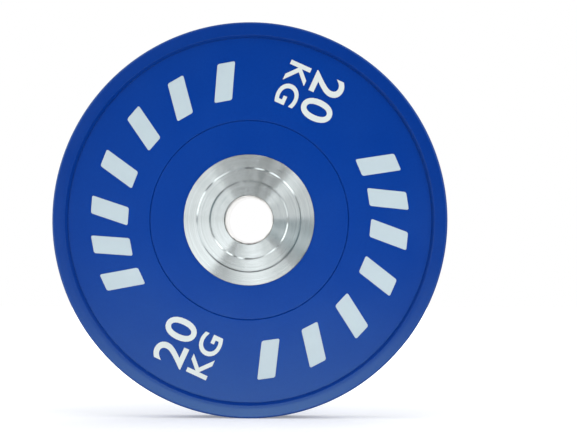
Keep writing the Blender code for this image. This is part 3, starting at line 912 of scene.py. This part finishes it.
def make_floor():
    """Plain pale floor, which glows white far off and less near the plate, where its shadow shows.

    Metal and gloss don't mirror this floor, because the world draws the table that they see there.
    """
    low = -PLATE_RADIUS
    corners = [
        (-FLOOR_HALF, -FLOOR_HALF, low),
        (FLOOR_HALF, -FLOOR_HALF, low),
        (FLOOR_HALF, FLOOR_HALF, low),
        (-FLOOR_HALF, FLOOR_HALF, low),
    ]
    mesh = bpy.data.meshes.new("floor")
    mesh.from_pydata(corners, [], [(0, 1, 2, 3)])
    material, tree, shader = new_material("white_sweep")
    shader.inputs["Base Color"].default_value = linear("#f4f4f4")
    shader.inputs["Roughness"].default_value = 0.9
    shader.inputs["Specular IOR Level"].default_value = 0.0
    path = add(tree, "ShaderNodeLightPath").outputs
    place = add(tree, "ShaderNodeTexCoord").outputs["Object"]
    far = add(tree, "ShaderNodeVectorMath", {0: place, 1: (1, 1, 0)}, operation="MULTIPLY").outputs[0]
    far = add(tree, "ShaderNodeVectorMath", {0: far}, operation="LENGTH").outputs["Value"]
    fade = add(
        tree,
        "ShaderNodeMapRange",
        {"Value": far, "From Min": FLOOR_NEAR, "From Max": FLOOR_FAR, "To Min": FLOOR_GLOW, "To Max": 1.0},
    ).outputs[0]
    seen = path["Is Camera Ray"]
    for kind in ("Is Glossy Ray", "Is Transmission Ray"):
        seen = add(tree, "ShaderNodeMath", {0: seen, 1: path[kind]}, operation="MAXIMUM").outputs[0]
    glow = add(tree, "ShaderNodeMath", {0: seen, 1: fade}, operation="MULTIPLY").outputs[0]
    shader.inputs["Emission Color"].default_value = WHITE
    tree.links.new(glow, shader.inputs["Emission Strength"])
    mesh.materials.append(material)
    floor = bpy.data.objects.new("floor", mesh)
    bpy.context.scene.collection.objects.link(floor)
    floor.visible_glossy = False


def ring_of_cards(tree, turn, cards):
    """Brightness of a ring of cards, as a ramp over the turn round the plate's axis."""
    made = add(tree, "ShaderNodeValToRGB", {0: turn})
    ramp = made.color_ramp
    ramp.elements[1].position = 1.0
    for degrees, level in cards[1:-1]:
        cool = COOL_CARD if COOL_FROM <= degrees <= COOL_TO else 0
        ramp.elements.new((degrees + 180) / 360).color = (level, level + 0.75 * cool, level + cool, 1)
    for stop, (degrees, level) in zip((ramp.elements[0], ramp.elements[-1]), (cards[0], cards[-1])):
        stop.color = (level, level, level, 1)
    return made.outputs[0]


def make_world():
    """Studio by direction: white to the camera, an even room to matt surfaces, zones to metal and gloss.

    The zones go by the angle from the way the front looks, which is the arc cosine of minus the
    direction's y. Round the lens the room is dark but for the table and the left card. Then come the
    front cards, the side cards, the front cards once more behind the plate, and white straight
    behind it. The turn round the axis is the arc tangent of how far down and how far right it goes.
    """
    world = bpy.data.worlds.new("studio")
    bpy.context.scene.world = world
    world.use_nodes = True
    tree = world.node_tree
    shader = tree.nodes["Background"]
    path = add(tree, "ShaderNodeLightPath").outputs
    way = add(tree, "ShaderNodeTexCoord").outputs["Generated"]
    right, back, up = add(tree, "ShaderNodeSeparateXYZ", {0: way}).outputs
    down = add(tree, "ShaderNodeMath", {0: up, 1: -1.0}, operation="MULTIPLY").outputs[0]
    turn = add(tree, "ShaderNodeMath", {0: down, 1: right}, operation="ARCTAN2").outputs[0]
    turn = add(
        tree, "ShaderNodeMapRange", {"Value": turn, "From Min": -math.pi, "From Max": math.pi}
    ).outputs[0]
    front = ring_of_cards(tree, turn, FRONT_CARDS)
    side = ring_of_cards(tree, turn, SIDE_CARDS)
    start, end = TABLE_EDGE
    table = add(
        tree,
        "ShaderNodeMapRange",
        {"Value": down, "From Min": start, "From Max": end, "To Min": 0.0, "To Max": TABLE_LEVEL},
        interpolation_type="SMOOTHSTEP",
    ).outputs[0]
    start, end = LEFT_CARD_EDGE
    left_card = add(
        tree,
        "ShaderNodeMapRange",
        {"Value": right, "From Min": start, "From Max": end, "To Min": 0.0, "To Max": LEFT_CARD_LEVEL},
    ).outputs[0]
    start, end = LEFT_CARD_TOP
    low_down = add(
        tree, "ShaderNodeMapRange", {"Value": down, "From Min": start, "From Max": end}
    ).outputs[0]
    lens = add(
        tree, "ShaderNodeMath", {0: left_card, 1: low_down, 2: table}, operation="MULTIPLY_ADD"
    ).outputs[0]
    seen = add(tree, "ShaderNodeCombineColor", {0: lens, 1: lens, 2: lens}).outputs[0]
    polar = add(tree, "ShaderNodeMath", {0: back, 1: -1.0}, operation="MULTIPLY").outputs[0]
    polar = add(tree, "ShaderNodeMath", {0: polar}, operation="ARCCOSINE").outputs[0]
    zones = ((LENS_TO_FRONT, front), (FRONT_TO_SIDE, side), (SIDE_TO_REAR, front), (REAR_TO_WHITE, WHITE))
    for (start, end), level in zones:
        share = add(
            tree,
            "ShaderNodeMapRange",
            {"Value": polar, "From Min": math.radians(start), "From Max": math.radians(end)},
            interpolation_type="SMOOTHSTEP",
        ).outputs[0]
        seen = add(
            tree, "ShaderNodeMix", {SHARE: share, FIRST: seen, SECOND: level}, data_type="RGBA"
        ).outputs[MIXED]
    mirrored = add(
        tree,
        "ShaderNodeMath",
        {0: path["Is Glossy Ray"], 1: path["Is Transmission Ray"]},
        operation="MAXIMUM",
    ).outputs[0]
    seen = add(
        tree, "ShaderNodeMix", {SHARE: mirrored, FIRST: PALE_ROOM, SECOND: seen}, data_type="RGBA"
    ).outputs[MIXED]
    by_camera = {SHARE: path["Is Camera Ray"], FIRST: seen, SECOND: WHITE}
    seen = add(tree, "ShaderNodeMix", by_camera, data_type="RGBA").outputs[MIXED]
    tree.links.new(seen, shader.inputs["Color"])


def make_lamps():
    """Soft key light from the right, fill from the left, above and behind, and a low card in front.

    The low card lifts the lower part of the face. A lamp's power is its level times pi times its area.
    """
    for name, (place, aim, width, height, level) in LAMPS.items():
        data = bpy.data.lights.new(name, "AREA")
        data.shape = "RECTANGLE"
        data.size = width
        data.size_y = height
        data.energy = level * math.pi * width * height
        lamp = bpy.data.objects.new(name, data)
        bpy.context.scene.collection.objects.link(lamp)
        lamp.location = place
        lamp.rotation_euler = (Vector(aim) - Vector(place)).to_track_quat("-Z", "Y").to_euler()
        lamp.visible_camera = False
        lamp.visible_glossy = False


def make_camera():
    """Camera a little to the right of the plate's axis and just below it, almost square on."""
    level = math.cos(CAMERA_ELEVATION)
    away = Vector(
        (
            math.sin(CAMERA_AZIMUTH) * level,
            -math.cos(CAMERA_AZIMUTH) * level,
            math.sin(CAMERA_ELEVATION),
        )
    )
    data = bpy.data.cameras.new("camera")
    data.sensor_width = CAMERA_SENSOR
    data.lens = CAMERA_LENS
    camera = bpy.data.objects.new("camera", data)
    bpy.context.scene.collection.objects.link(camera)
    camera.location = away * CAMERA_DISTANCE
    right = Vector((math.cos(CAMERA_AZIMUTH), math.sin(CAMERA_AZIMUTH), 0))
    aim = right * AIM_RIGHT + Vector((0, 0, AIM_UP))
    camera.rotation_euler = (aim - camera.location).to_track_quat("-Z", "Y").to_euler()
    bpy.context.scene.camera = camera


def main():
    """Dress the frame, then light it."""
    faced_steel = turned_steel()
    # Bored and burnished, so almost a white mirror
    bored_steel = plain_steel("bored_steel", "#f4f3f1", "#ebeae8", 0.10)
    # Plated with zinc: an even mid grey with a soft shine
    screw_steel = plain_steel("zinc_plated_screw_steel", "#9a9c9c", "#7d8081", 0.30)
    # Drawn wire for the washers: darker, with a broad shine
    spring_steel = plain_steel("spring_steel", "#8b8b8a", "#6d6e6e", 0.38)
    # Cut from rolled plate: dull and dark
    core_steel = plain_steel("cut_plate_steel", "#6f7173", "#5b5d60", 0.5)
    pale_blue = inlay_rubber("moulded_pale_rubber", "#becdd2", "#b6c5cc")
    white = inlay_rubber("moulded_white_rubber", "#d9dfdb", "#cfd7d5")
    make_rubber_body(moulded_rubber())
    make_marks(pale_blue, white)
    make_front_hub_plate(faced_steel)
    make_rear_hub_plate(faced_steel)
    make_bore_sleeve(bored_steel)
    make_screws(screw_steel)
    # The core and the washers, which no piece replaces, keep their shape and get their steel
    for name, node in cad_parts.items():
        finish = core_steel if name == "core_disc" else spring_steel
        if not node.hide_render:
            for slot in node.material_slots:
                slot.material = finish
    make_floor()
    make_world()
    make_lamps()
    make_camera()
    bpy.context.scene.view_settings.view_transform = "Standard"


main()
